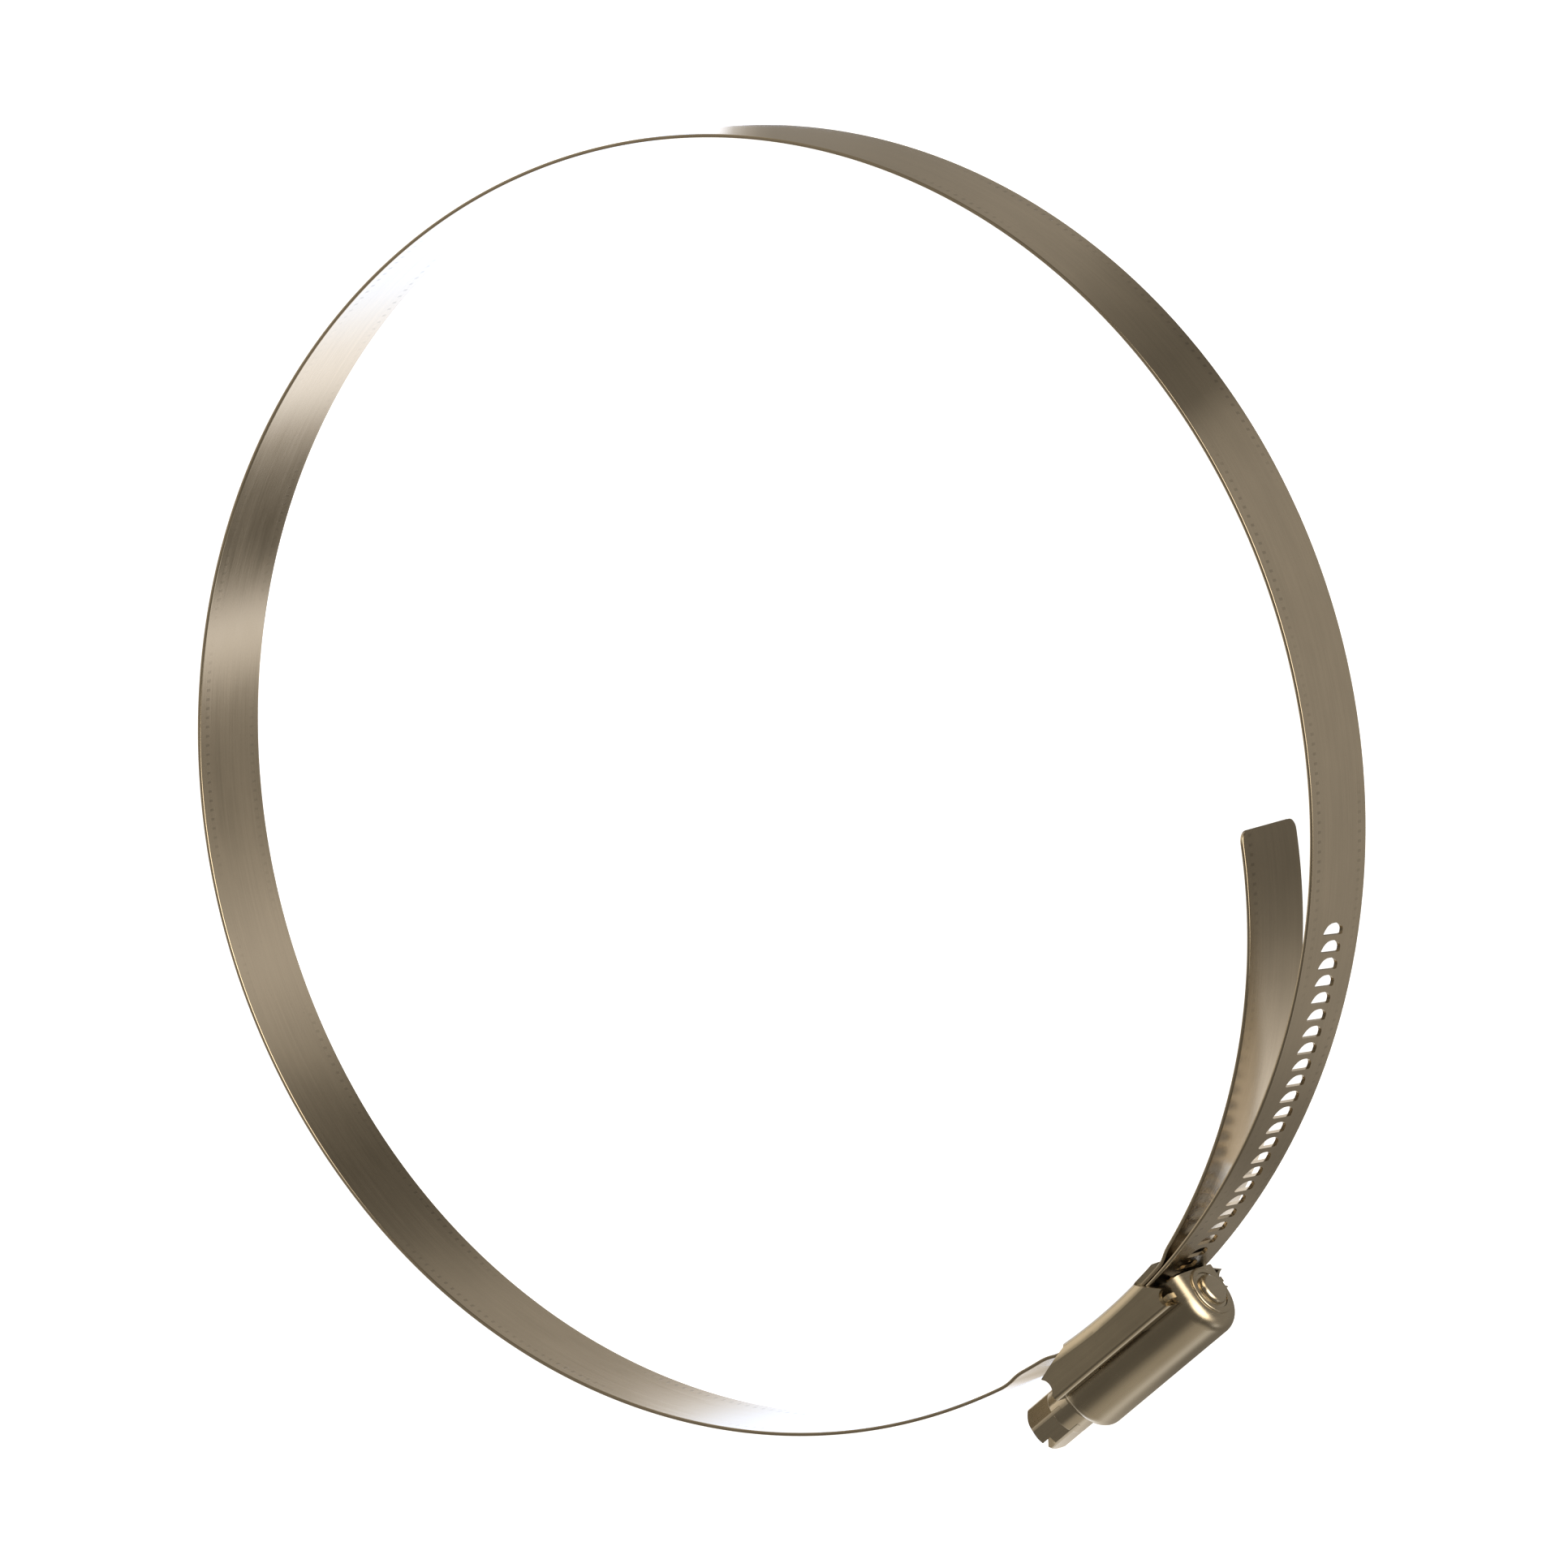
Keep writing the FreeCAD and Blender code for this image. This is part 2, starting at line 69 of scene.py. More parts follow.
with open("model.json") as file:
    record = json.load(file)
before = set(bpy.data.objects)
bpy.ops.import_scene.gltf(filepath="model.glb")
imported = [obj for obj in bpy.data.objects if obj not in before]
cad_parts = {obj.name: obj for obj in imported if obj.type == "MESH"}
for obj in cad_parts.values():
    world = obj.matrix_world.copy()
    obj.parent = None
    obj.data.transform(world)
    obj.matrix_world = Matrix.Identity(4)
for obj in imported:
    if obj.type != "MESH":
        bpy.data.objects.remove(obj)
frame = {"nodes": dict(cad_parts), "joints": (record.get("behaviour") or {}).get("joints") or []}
CAD_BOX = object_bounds()

MM = 0.001
TOUCHING = 1e-6
JOINTS = {joint["name"]: joint for joint in frame["joints"]}


# ---------------------------------------------------------------- sizes read from the frame
def joint_point(name):
    return Vector(JOINTS[name]["pos_m"])


BAND_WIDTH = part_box("band_top")[1].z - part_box("band_top")[0].z
CAPTIVE_RADIUS = joint_point("flex_left").length
SLOTTED_RADIUS = joint_point("flex_slotted").length
TOP_RADIUS = (CAPTIVE_RADIUS + SLOTTED_RADIUS) / 2
TOP_CENTRE = Vector(((SLOTTED_RADIUS - CAPTIVE_RADIUS) / 2, 0, 0))
BAND_THICKNESS = 2 * (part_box("band_right")[1].x - SLOTTED_RADIUS)
LINER_ROOT = joint_point("liner_flex")


# ---------------------------------------------------------------- fixed shape of the strip
BEND_STEP_DEGREES = 0.75
BLEND_REACH_DEGREES = 25
ARC_STEPS = 3
SLOT_LOOP_POINTS = 26
BORDER_PER_ROUND = 1.5
PLAIN_END_STEPS = 60
TAIL_END_STEPS = 3
TAIL_TAPER_LENGTH = 2.2 * MM
TAIL_TAPER_SHARE = 0.25
STRIP_EXIT_SETBACK = 0.8 * MM
LINER_BEND_RADIUS = 4 * MM
LINER_BEND_DEGREES = 20
LINER_BEND_LEAD = 1 * MM
LINER_BACK_BEND_RADIUS = 5 * MM
LINER_BACK_BEND_DEGREES = 10.3
LINER_CURVE_SHARE = 0.895
LINER_RUN_START = 0.7
TIP_LEAN_DEGREES = 14.2
TIP_ROWS = 7


# ---------------------------------------------------------------- fixed make-up of the studio
WARM = (1.0, 0.875, 0.69)
SCREEN = (1.5, 1.68, 2.08)
SHALLOW_GREY = (0.74, 0.70, 0.64, 1)
OVERHEAD_LEVEL = 0.12
FLOOR_GAP = 0.2 * MM
FLOOR_SIZE = 4.0
CARD_GAP = 0.3 * MM
CARD_STEPS = 60
CAMERA_LENS = 279.5
CAMERA_AIM_RIGHT = 2.49 * MM

# (degrees about the hose's axis, level)
OUTER_CARD_LEVELS = (
    (-114, 3.5), (-110, 1.7), (-105, 0.75), (-99, 0.34), (-92, 0.2), (-84, 0.19), (-80, 0.25),
    (-72, 0.19), (-66, 0.22), (-58, 0.31), (-46, 0.32),
    (-30, 0.34), (-8, 0.34), (-2, 0.29), (1.5, 0.16), (6, 0.145), (11, 0.18), (15, 0.23),
    (19, 0.30), (26, 0.32), (40, 0.28), (46, 0.29), (53, 0.29), (56, 0.5), (58, 1.5))
LINER_CARD_LEVELS = (
    (-74, 1.0), (-66, 0.78), (-60, 0.52), (-55, 0.33), (-50, 0.21), (-44, 0.16), (-12, 0.2))
WALL_LEVELS = (
    (0, 0.40), (8, 0.22), (16, 0.155), (24, 0.115), (34, 0.135), (40, 0.15), (48, 0.24),
    (56, 0.35), (75, 0.36), (88, 0.42), (95, 0.5), (105, 0.9), (112, 2.0), (120, 4.5),
    (208, 4.5), (218, 2.4), (230, 1.3), (241, 1.3), (248, 0.56), (256, 0.22), (273, 0.12),
    (279, 0.33), (286, 1.1), (292, 0.75), (298, 0.3), (312, 0.25), (320, 0.27), (328, 0.38),
    (344, 0.55), (352, 0.48), (359.9, 0.40))

# (azimuth, elevation, outer edge and full core in degrees from the aim, level)
LAMPS = (
    (-16, 14, 42, 10, 3.4),
    (122, 10, 62, 8, 0.75),
    (236, 6, 40, 6, 0.3),
)


# ---------------------------------------------------------------- settings
class ClampBandSettings(bpy.types.PropertyGroup):
    """Sizes of the steel strip that a user may change."""
    slot_pitch: bpy.props.FloatProperty(
        name="Slot pitch", description="Distance along the band from slot to slot",
        default=2.4 * MM, unit="LENGTH", subtype="DISTANCE", precision=5)
    slot_length: bpy.props.FloatProperty(
        name="Slot length", description="Length of a slot across the band",
        default=5.2 * MM, unit="LENGTH", subtype="DISTANCE", precision=5)
    slot_height: bpy.props.FloatProperty(
        name="Slot height", description="Size of a slot along the band, at its widest place",
        default=1.65 * MM, unit="LENGTH", subtype="DISTANCE", precision=5)
    slot_flat: bpy.props.FloatProperty(
        name="Slot flat", description="From the thread's middle to a slot's flat edge",
        default=0.58 * MM, unit="LENGTH", subtype="DISTANCE", precision=5)
    slot_slant: bpy.props.FloatProperty(
        name="Slot slant", description="Lean of the slots, which suits the screw's helix",
        default=math.radians(5.3), unit="ROTATION", subtype="ANGLE")
    slots_on_tail: bpy.props.IntProperty(
        name="Slots on tail", description="Slots on the tail's side of the housing's middle", default=3)
    slot_count: bpy.props.IntProperty(name="Slots", description="Slots in all", default=31)
    edge_round: bpy.props.FloatProperty(
        name="Edge rounding", description="Radius that rolling leaves on the strip's edges",
        default=0.12 * MM, unit="LENGTH", subtype="DISTANCE", precision=6)
    joggle_shift: bpy.props.FloatProperty(
        name="Joggle", description="How far the band steps inwards behind the saddle",
        default=0.65 * MM, unit="LENGTH", subtype="DISTANCE", precision=5)
    joggle_bend: bpy.props.FloatProperty(
        name="Joggle bends", description="Radius of the joggle's four bends",
        default=8.0 * MM, unit="LENGTH", subtype="DISTANCE", precision=5)
    joggle_sweep: bpy.props.FloatProperty(
        name="Joggle length", description="Angle of the loop over which the band stays stepped in",
        default=math.radians(2.0), unit="ROTATION", subtype="ANGLE")
    joggle_end: bpy.props.FloatProperty(
        name="Joggle end", description="From the housing's middle to the joggle's end, along the screw",
        default=6.85 * MM, unit="LENGTH", subtype="DISTANCE", precision=5)
    liner_length: bpy.props.FloatProperty(
        name="Liner length", description="Length of the liner's even curve",
        default=59.2 * MM, unit="LENGTH", subtype="DISTANCE", precision=5)
    liner_corner: bpy.props.FloatProperty(
        name="Liner corner", description="Radius of the corners at the liner's tip",
        default=1.6 * MM, unit="LENGTH", subtype="DISTANCE", precision=5)


class ClampFinishSettings(bpy.types.PropertyGroup):
    """Colours of the stainless steel."""
    strip_tone: bpy.props.FloatVectorProperty(
        name="Strip", description="Colour of the rolled strip",
        subtype="COLOR", size=3, min=0, max=1, default=(0.62, 0.55, 0.44))
    housing_tone: bpy.props.FloatVectorProperty(
        name="Housing", description="Colour of the pressed housing and saddle",
        subtype="COLOR", size=3, min=0, max=1, default=(0.62, 0.56, 0.45))
    screw_tone: bpy.props.FloatVectorProperty(
        name="Screw", description="Colour of the screw",
        subtype="COLOR", size=3, min=0, max=1, default=(0.68, 0.62, 0.51))


class ClampStageSettings(bpy.types.PropertyGroup):
    """Where the camera stands."""
    camera_azimuth: bpy.props.FloatProperty(
        name="Camera azimuth", description="Direction of the camera about the hose's axis, from +X",
        default=math.radians(-23.6), unit="ROTATION", subtype="ANGLE")
    camera_elevation: bpy.props.FloatProperty(
        name="Camera elevation", description="Height of the camera above the loop's plane",
        default=math.radians(57.0), unit="ROTATION", subtype="ANGLE")
    camera_roll: bpy.props.FloatProperty(
        name="Camera roll", description="Turn of the camera about its own line of sight",
        default=math.radians(-104.2), unit="ROTATION", subtype="ANGLE")
    camera_distance: bpy.props.FloatProperty(
        name="Camera distance", description="From the camera to the loop's centre",
        default=1.651, unit="LENGTH", subtype="DISTANCE")


# ---------------------------------------------------------------- node helpers
def new_group(name, inputs, outputs):
    """Empty shader group with named sockets; inputs and outputs are (name, type, default)."""
    group = bpy.data.node_groups.new(name, "ShaderNodeTree")
    for label, kind, default in inputs:
        socket = group.interface.new_socket(label, in_out="INPUT", socket_type=kind)
        if default is not None:
            socket.default_value = default
    for label, kind in outputs:
        group.interface.new_socket(label, in_out="OUTPUT", socket_type=kind)
    return group, group.nodes.new("NodeGroupInput"), group.nodes.new("NodeGroupOutput")


def math_node(tree, operation, first, second=None, third=None, clamp=False):
    node = tree.nodes.new("ShaderNodeMath")
    node.operation = operation
    node.use_clamp = clamp
    for socket, value in zip(node.inputs, (first, second, third)):
        feed(tree, socket, value)
    return node.outputs[0]


def feed(tree, socket, value):
    """Link a socket, or set it when the value is a plain number or colour."""
    if value is None:
        return
    if isinstance(value, bpy.types.NodeSocket):
        tree.links.new(value, socket)
    else:
        socket.default_value = value


def mix_colour(tree, amount, first, second, blend="MIX"):
    node = tree.nodes.new("ShaderNodeMix")
    node.data_type = "RGBA"
    node.blend_type = blend
    feed(tree, node.inputs[0], amount)
    feed(tree, node.inputs[6], first)
    feed(tree, node.inputs[7], second)
    return node.outputs[2]


def noise(tree, vector, scale, detail=2.0, roughness=0.5):
    node = tree.nodes.new("ShaderNodeTexNoise")
    node.inputs["Scale"].default_value = scale
    node.inputs["Detail"].default_value = detail
    node.inputs["Roughness"].default_value = roughness
    feed(tree, node.inputs["Vector"], vector)
    return node.outputs["Fac"]


def stretched(tree, vector, scale):
    node = tree.nodes.new("ShaderNodeMapping")
    node.inputs["Scale"].default_value = scale
    feed(tree, node.inputs["Vector"], vector)
    return node.outputs["Vector"]


def shade(level):
    """Opaque colour from a grey level or from red, green and blue."""
    if isinstance(level, (int, float)):
        return (level, level, level, 1)
    return (*level, 1)


def ramp(tree, value, stops):
    node = tree.nodes.new("ShaderNodeValToRGB")
    elements = node.color_ramp.elements
    while len(elements) > 1:
        elements.remove(elements[-1])
    elements[0].position = stops[0][0]
    elements[0].color = shade(stops[0][1])
    for position, level in stops[1:]:
        elements.new(position).color = shade(level)
    feed(tree, node.inputs["Fac"], value)
    return node.outputs["Color"]


def warm_shade(level):
    """Warm grey that turns to the white screen's own colour as it gets bright."""
    whiteness = min(1.0, level / 2.0) ** 2
    return tuple(level * tint * (1 - whiteness) + screen * whiteness
                 for tint, screen in zip(WARM, SCREEN))


def walls_by_angle(tree, vector, levels):
    """Colour by the direction about +Z, from (degrees, level) pairs."""
    gradient = tree.nodes.new("ShaderNodeTexGradient")
    gradient.gradient_type = "RADIAL"
    tree.links.new(vector, gradient.inputs["Vector"])
    stops = sorted((((degrees + 180) % 360) / 360, warm_shade(level)) for degrees, level in levels)
    return ramp(tree, gradient.outputs["Fac"], stops)


# ---------------------------------------------------------------- shared effects
def rolled_grain_group():
    """Fine lines along the strip, cloudy patches and sparse marks, from a vector of run and width."""
    group, given, result = new_group(
        "rolled_grain",
        [("Vector", "NodeSocketVector", None), ("Tone", "NodeSocketColor", (0.6, 0.5, 0.4, 1)),
         ("Line Strength", "NodeSocketFloat", 0.1), ("Base Roughness", "NodeSocketFloat", 0.2)],
        [("Color", "NodeSocketColor"), ("Roughness", "NodeSocketFloat"), ("Height", "NodeSocketFloat")])
    vector = given.outputs["Vector"]
    lines = noise(group, stretched(group, vector, (60, 5200, 1)), 1.0, 3.0, 0.6)
    broad_lines = noise(group, stretched(group, vector, (25, 1100, 1)), 1.0, 2.0, 0.5)
    clouds = noise(group, stretched(group, vector, (90, 160, 1)), 1.0, 3.0, 0.55)
    specks = noise(group, stretched(group, vector, (2600, 3800, 1)), 1.0, 1.0, 0.5)
    both = math_node(group, "ADD", math_node(group, "MULTIPLY", lines, 0.6),
                     math_node(group, "MULTIPLY", broad_lines, 0.4))
    centred = math_node(group, "SUBTRACT", both, 0.5)
    lightness = math_node(group, "MULTIPLY_ADD", centred, given.outputs["Line Strength"], 1.0)
    cloudy = math_node(group, "MULTIPLY_ADD", math_node(group, "SUBTRACT", clouds, 0.5), 0.22, lightness)
    pits = ramp(group, specks, [(0.0, 1.0), (0.70, 1.0), (0.78, 0.8)])
    toned = mix_colour(group, 1.0, given.outputs["Tone"], grey_of(group, cloudy), "MULTIPLY")
    colour = mix_colour(group, 0.6, toned, mix_colour(group, 1.0, toned, pits, "MULTIPLY"))
    rough = math_node(group, "MULTIPLY_ADD", centred, 0.16, given.outputs["Base Roughness"])
    rough = math_node(
        group, "MULTIPLY_ADD", math_node(group, "SUBTRACT", clouds, 0.5), 0.10, rough, clamp=True)
    height = math_node(group, "MULTIPLY_ADD", specks, 0.25, both)
    group.links.new(colour, result.inputs["Color"])
    group.links.new(rough, result.inputs["Roughness"])
    group.links.new(height, result.inputs["Height"])
    return group


def roller_marks_group():
    """Two rows of short dashes near the strip's edges, in patches, from a vector of run and width."""
    group, given, result = new_group(
        "roller_marks",
        [("Vector", "NodeSocketVector", None), ("Dash Pitch", "NodeSocketFloat", 1.3 * MM),
         ("Row Offset", "NodeSocketFloat", 5.4 * MM)],
        [("Mask", "NodeSocketFloat")])
    split = group.nodes.new("ShaderNodeSeparateXYZ")
    group.links.new(given.outputs["Vector"], split.inputs[0])
    beside = math_node(group, "ABSOLUTE", math_node(
        group, "SUBTRACT", math_node(group, "ABSOLUTE", split.outputs["Y"]),
        given.outputs["Row Offset"]))
    row = math_node(group, "LESS_THAN", beside, 0.42 * MM)
    pitches = math_node(group, "DIVIDE", split.outputs["X"], given.outputs["Dash Pitch"])
    phase = math_node(group, "FRACT", pitches)
    dash = math_node(group, "LESS_THAN", phase, 0.3)
    patches = noise(group, stretched(group, given.outputs["Vector"], (38, 60, 1)), 1.0, 1.0)
    worn = math_node(group, "MULTIPLY", math_node(group, "SUBTRACT", patches, 0.45), 6.0, clamp=True)
    mask = math_node(group, "MULTIPLY", math_node(group, "MULTIPLY", row, dash), worn)
    group.links.new(mask, result.inputs["Mask"])
    return group


def grey_of(tree, value):
    node = tree.nodes.new("ShaderNodeCombineColor")
    for socket in node.inputs:
        feed(tree, socket, value)
    return node.outputs[0]


def make_material(name, build):
    material = bpy.data.materials.new(name)
    material.use_nodes = True
    tree = material.node_tree
    shader = tree.nodes["Principled BSDF"]
    shader.inputs["Metallic"].default_value = 1.0
    build(tree, shader)
    return material


def add_bump(tree, shader, height, strength, distance):
    bump = tree.nodes.new("ShaderNodeBump")
    bump.inputs["Strength"].default_value = strength
    bump.inputs["Distance"].default_value = distance
    feed(tree, bump.inputs["Height"], height)
    tree.links.new(bump.outputs["Normal"], shader.inputs["Normal"])


def coordinates(tree, kind):
    return tree.nodes.new("ShaderNodeTexCoord").outputs[kind]


# ---------------------------------------------------------------- finishes
def strip_steel(grain, marks, tone):
    def build(tree, shader):
        node = tree.nodes.new("ShaderNodeGroup")
        node.node_tree = grain
        dashes = tree.nodes.new("ShaderNodeGroup")
        dashes.node_tree = marks
        place = coordinates(tree, "UV")
        feed(tree, node.inputs["Vector"], place)
        feed(tree, dashes.inputs["Vector"], place)
        node.inputs["Tone"].default_value = shade(tone)
        node.inputs["Line Strength"].default_value = 0.35
        node.inputs["Base Roughness"].default_value = 0.2
        faded = math_node(tree, "MULTIPLY_ADD", dashes.outputs["Mask"], -0.22, 1.0)
        marked = mix_colour(tree, 1.0, node.outputs["Color"], grey_of(tree, faded), "MULTIPLY")
        tree.links.new(marked, shader.inputs["Base Color"])
        tree.links.new(node.outputs["Roughness"], shader.inputs["Roughness"])
        height = math_node(tree, "MULTIPLY_ADD", dashes.outputs["Mask"], -0.6, node.outputs["Height"])
        add_bump(tree, shader, height, 0.25, 0.00002)
    return make_material("strip_steel", build)


def pressed_steel(name, grain, tone, roughness):
    def build(tree, shader):
        node = tree.nodes.new("ShaderNodeGroup")
        node.node_tree = grain
        vector = stretched(tree, coordinates(tree, "Object"), (1.0, 0.35, 0.35))
        feed(tree, node.inputs["Vector"], vector)
        node.inputs["Tone"].default_value = shade(tone)
        node.inputs["Line Strength"].default_value = 0.2
        node.inputs["Base Roughness"].default_value = roughness
        tree.links.new(node.outputs["Color"], shader.inputs["Base Color"])
        tree.links.new(node.outputs["Roughness"], shader.inputs["Roughness"])
        add_bump(tree, shader, node.outputs["Height"], 0.25, 0.00002)
    return make_material(name, build)


# ---------------------------------------------------------------- mesh helpers
def loop_place(radius, degrees, centre=Vector((0, 0, 0))):
    angle = math.radians(degrees)
    return centre + Vector((radius * math.cos(angle), radius * math.sin(angle), 0))


def finish_mesh(name, mesh_builder, material, sharp_degrees=35):
    """Object at the origin from a bmesh: smooth faces with sharp edges where the surface turns."""
    bmesh.ops.recalc_face_normals(mesh_builder, faces=mesh_builder.faces)
    limit = math.radians(sharp_degrees)
    for face in mesh_builder.faces:
        face.smooth = True
    for edge in mesh_builder.edges:
        edge.smooth = not (edge.is_manifold and edge.calc_face_angle() > limit)
    mesh = bpy.data.meshes.new(name)
    mesh_builder.to_mesh(mesh)
    mesh_builder.free()
    mesh.materials.append(material)
    piece = bpy.data.objects.new(name, mesh)
    bpy.context.scene.collection.objects.link(piece)
    return piece


def write_run_uv(mesh_builder, run_layer):
    """UV map of distance along the strip and distance across it, in metres."""
    uv_layer = mesh_builder.loops.layers.uv.new("run_width")
    for face in mesh_builder.faces:
        for corner in face.loops:
            corner[uv_layer].uv = (corner.vert[run_layer], corner.vert.co.z)


def strip_outline(edge_round):
    """Cross-section of the strip as (across, through) points, with rounded edges."""
    half_width, half = BAND_WIDTH / 2, BAND_THICKNESS / 2
    flat = half_width - edge_round
    rows = [-flat, -flat + edge_round, -flat / 3, flat / 3, flat - edge_round, flat]
    outline = []
    for side in (-1, 1):
        outline += [(-side * row, side * half) for row in reversed(rows)]
        for step in range(1, 2 * ARC_STEPS):
            turn = math.pi * step / (2 * ARC_STEPS)
            across = flat + edge_round * math.sin(turn)
            through = math.cos(turn) * edge_round + math.copysign(half - edge_round, math.cos(turn))
            if step == ARC_STEPS:
                through = 0
            outline.append((side * across, side * through))
    return outline


def strip_along(start, heading, moves, run_start, edge_round):
    """Strip that starts at a point and follows straight and curved moves.

    A move is (length, radius, turn in degrees); turning left is positive.
    """
    builder = bmesh.new()
    run_layer = builder.verts.layers.float.new("run")
    direction = Vector((math.cos(math.radians(heading)), math.sin(math.radians(heading)), 0))
    left = Vector((-direction.y, direction.x, 0))
    outline = strip_outline(edge_round)
    ring = bmesh.ops.create_circle(builder, segments=len(outline), radius=1)["verts"]
    for vert, (across, through) in zip(ring, outline):
        vert.co = start + left * through + Vector((0, 0, across))
        vert[run_layer] = run_start
    first_edges = list(builder.edges)
    edges = first_edges
    run = run_start
    point = start.copy()
    for length, radius, turn in moves:
        steps = max(1, round(abs(turn) / BEND_STEP_DEGREES)) if turn else 1
        side = math.copysign(1, turn)
        centre = point + Vector((-direction.y, direction.x, 0)) * (radius * side)
        rotation = Matrix.Rotation(math.radians(turn / steps), 3, "Z")
        for _ in range(steps):
            made = bmesh.ops.extrude_edge_only(builder, edges=edges)["geom"]
            verts = [item for item in made if isinstance(item, bmesh.types.BMVert)]
            edges = [item for item in made if isinstance(item, bmesh.types.BMEdge)]
            if turn:
                bmesh.ops.rotate(builder, verts=verts, cent=centre, matrix=rotation)
                point = centre + rotation @ (point - centre)
                direction = rotation @ direction
                run += abs(math.radians(turn / steps)) * radius
            else:
                bmesh.ops.translate(builder, verts=verts, vec=direction * length)
                point = point + direction * length
                run += length
            for vert in verts:
                vert[run_layer] = run
    bmesh.ops.edgeloop_fill(builder, edges=first_edges)
    bmesh.ops.edgeloop_fill(builder, edges=edges)
    write_run_uv(builder, run_layer)
    return builder


def exit_degrees():
    """Angle past the housing's middle at which the strip starts to bend towards the liner."""
    exit_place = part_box("housing_shell")[1].x - STRIP_EXIT_SETBACK
    return math.degrees(math.asin(exit_place / CAPTIVE_RADIUS))


def joggle(band):
    """Moves that step the strip inwards and back, and the angle of the loop that they take."""
    bend = band.joggle_bend
    far_side = CAPTIVE_RADIUS - band.joggle_shift + bend
    near_side = CAPTIVE_RADIUS - bend
    turn_in = math.acos((far_side ** 2 - near_side ** 2 - 4 * bend ** 2) / (4 * near_side * bend))
    step_sweep = math.asin(2 * bend * math.sin(turn_in) / far_side)
    step_in = [(0, bend, math.degrees(turn_in)), (0, bend, math.degrees(step_sweep - turn_in))]
    flat = (0, CAPTIVE_RADIUS - band.joggle_shift, math.degrees(band.joggle_sweep))
    return step_in + [flat] + step_in[::-1], math.degrees(band.joggle_sweep + 2 * step_sweep)


# ---------------------------------------------------------------- operators
class HOSECLAMP_OT_band(bpy.types.Operator):
    """Build the plain part of the steel strip, from the liner's root round to the right-hand side"""
    bl_idname = "hoseclamp.band"
    bl_label = "Steel strip"

    def execute(self, context):
        steel = bpy.data.materials["strip_steel"]
        band = context.scene.clamp_band
        joggle_moves, joggle_total = joggle(band)
        joggle_end = math.degrees(math.asin(band.joggle_end / CAPTIVE_RADIUS))
        lower_moves = [(0, CAPTIVE_RADIUS, 90 - joggle_end - joggle_total)] + joggle_moves
        lower_moves.append((0, CAPTIVE_RADIUS, joggle_end + exit_degrees()))
        lower_moves += [(0, LINER_BEND_RADIUS, LINER_BEND_DEGREES), (LINER_BEND_LEAD, 0, 0)]
        lower = strip_along(loop_place(CAPTIVE_RADIUS, 180), -90, lower_moves,
                            CAPTIVE_RADIUS * math.pi, band.edge_round)
        quarter = [(0, TOP_RADIUS, 90)]
        left = strip_along(loop_place(TOP_RADIUS, 90, TOP_CENTRE), 180, quarter,
                           TOP_RADIUS * math.pi / 2, band.edge_round)
        right = strip_along(loop_place(TOP_RADIUS, 0, TOP_CENTRE), 90, quarter, 0.0, band.edge_round)
        plans = (
            ("strip_captive", lower, "housing", "left_span", CAPTIVE_RADIUS, 225,
             ["captive_band", "band_left"]),
            ("strip_left", left, "left_span", "top_span", TOP_RADIUS, 135,
             ["band_left", "band_top"]),
            ("strip_top", right, "top_span", "right_span", TOP_RADIUS, 45,
             ["band_top", "band_right"]),
        )
        for name, builder, first, second, radius, hinge, nodes in plans:
            piece = finish_mesh(name, builder, steel)
            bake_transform(piece, first, second, loop_place(radius, hinge + BLEND_REACH_DEGREES),
                     loop_place(radius, hinge - BLEND_REACH_DEGREES))
            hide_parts(*nodes)
        return {"FINISHED"}


def slot_edge(band, share):
    """Places along the strip of a slot's flat and humped edges, at a share of its half length."""
    hump_place, narrow_end, wide_end = -0.2, 0.22, 0.6
    if share > hump_place:
        reach = (share - hump_place) / (1 - hump_place)
        height = 1 - (1 - narrow_end) * reach ** 3
    else:
        reach = (hump_place - share) / (1 + hump_place)
        height = 1 - (1 - wide_end) * reach ** 2
    corner = abs(share) ** 14
    low = 0.08 * corner * band.slot_height - band.slot_flat
    return low, height * (1 - 0.3 * corner) * band.slot_height - band.slot_flat


